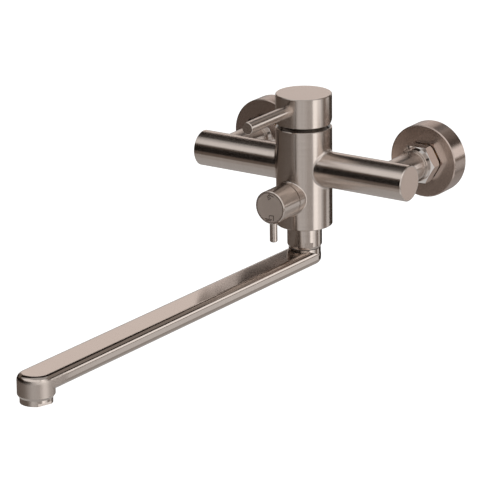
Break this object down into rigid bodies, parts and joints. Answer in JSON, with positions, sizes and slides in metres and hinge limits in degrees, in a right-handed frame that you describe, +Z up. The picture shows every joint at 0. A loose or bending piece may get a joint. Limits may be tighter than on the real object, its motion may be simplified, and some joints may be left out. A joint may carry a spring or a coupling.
{
  "type": "wall mounted bath faucet",
  "caption": "Wall mounted lever bath mixer: upright barrel on a cross bar with wall unions, a shower diverter knob and a long flat swinging spout with an aerator.",
  "frame": {"origin": "on the wall face, midway between the two wall pipes", "axes": "+X to the right as seen from the room, +Y into the wall, +Z up; the spout points along -Y"},
  "size_m": [0.209, 0.4543, 0.1428],
  "materials": {
    "satin_steel": "satin brushed",
    "polished_steel": "semi polished",
    "polished_chrome": "polished",
    "brass": "machined",
    "steel": "turned",
    "white_plastic": "moulded",
    "ceramic": "lapped",
    "rubber": "matt"
  },
  "bodies": {
    "mixer": {"mixer_body": "satin_steel", "bar_left": "satin_steel", "bar_right": "satin_steel", "inlet_stub_left": "satin_steel", "inlet_stub_right": "satin_steel", "eccentric_union_left": "brass", "eccentric_union_right": "brass", "wall_flange_left": "satin_steel", "wall_flange_right": "satin_steel", "union_nut_left": "polished_steel", "union_nut_right": "polished_steel", "inlet_washer_left": "rubber", "inlet_washer_right": "rubber", "bar_end_plug_left": "satin_steel", "bar_end_plug_right": "satin_steel", "cartridge_base": "white_plastic", "hot_port_seal": "rubber", "cold_port_seal": "rubber", "outlet_port_seal": "rubber", "cartridge_housing": "white_plastic", "fixed_ceramic_disc": "ceramic", "cartridge_clamp_ring": "brass", "dome_ring": "polished_chrome", "diverter_valve_body": "brass", "diverter_body_o_ring": "rubber", "diverter_fixed_disc": "ceramic", "spout_bushing": "satin_steel", "spout_lock_screw": "steel", "spout_bushing_gasket": "rubber", "spout_slip_ring": "white_plastic"},
    "temperature_rotor": {"cartridge_rotor": "white_plastic", "stem_pivot_pin": "steel"},
    "mixing_disc": {"moving_ceramic_disc": "ceramic", "disc_carrier": "white_plastic"},
    "handle": {"handle_cap": "satin_steel", "lever_rod": "satin_steel", "cartridge_stem": "brass", "handle_grub_screw": "steel"},
    "diverter": {"diverter_knob": "satin_steel", "diverter_pin": "satin_steel", "diverter_spindle": "brass", "diverter_spindle_o_ring": "rubber", "diverter_turning_disc": "ceramic", "diverter_knob_screw": "steel", "diverter_index_disc": "satin_steel"},
    "spout": {"spout_arm": "satin_steel", "spout_spigot": "brass", "spout_o_ring_upper": "rubber", "spout_o_ring_lower": "rubber", "aerator_shell": "satin_steel", "aerator_insert": "white_plastic", "aerator_gasket": "rubber"}
  },
  "joints": [
    {"name": "temperature_turn", "type": "hinge", "parent": "mixer", "child": "temperature_rotor", "pos_m": [0, -0.0745, 0.027], "axis": [0, 0, 1], "range_deg": [-45, 45]},
    {"name": "flow_lift", "type": "hinge", "parent": "temperature_rotor", "child": "handle", "pos_m": [0, -0.0745, 0.027], "axis": [-1, 0, 0], "range_deg": [0, 20]},
    {"name": "disc_slide", "type": "slide", "parent": "temperature_rotor", "child": "mixing_disc", "axis": [0, -1, 0], "range_m": [0, 0.0026]},
    {"name": "diverter_turn", "type": "hinge", "parent": "mixer", "child": "diverter", "pos_m": [0, -0.1, -0.0142], "axis": [0, -1, 0], "range_deg": [0, 180]},
    {"name": "spout_swing", "type": "hinge", "parent": "mixer", "child": "spout", "pos_m": [0, -0.0745, -0.06], "axis": [0, 0, 1], "range_deg": [-90, 90]}
  ],
  "couplings": [
    {"joint": "disc_slide", "follows": "flow_lift", "m_per_rad": 0.0073486}
  ]
}
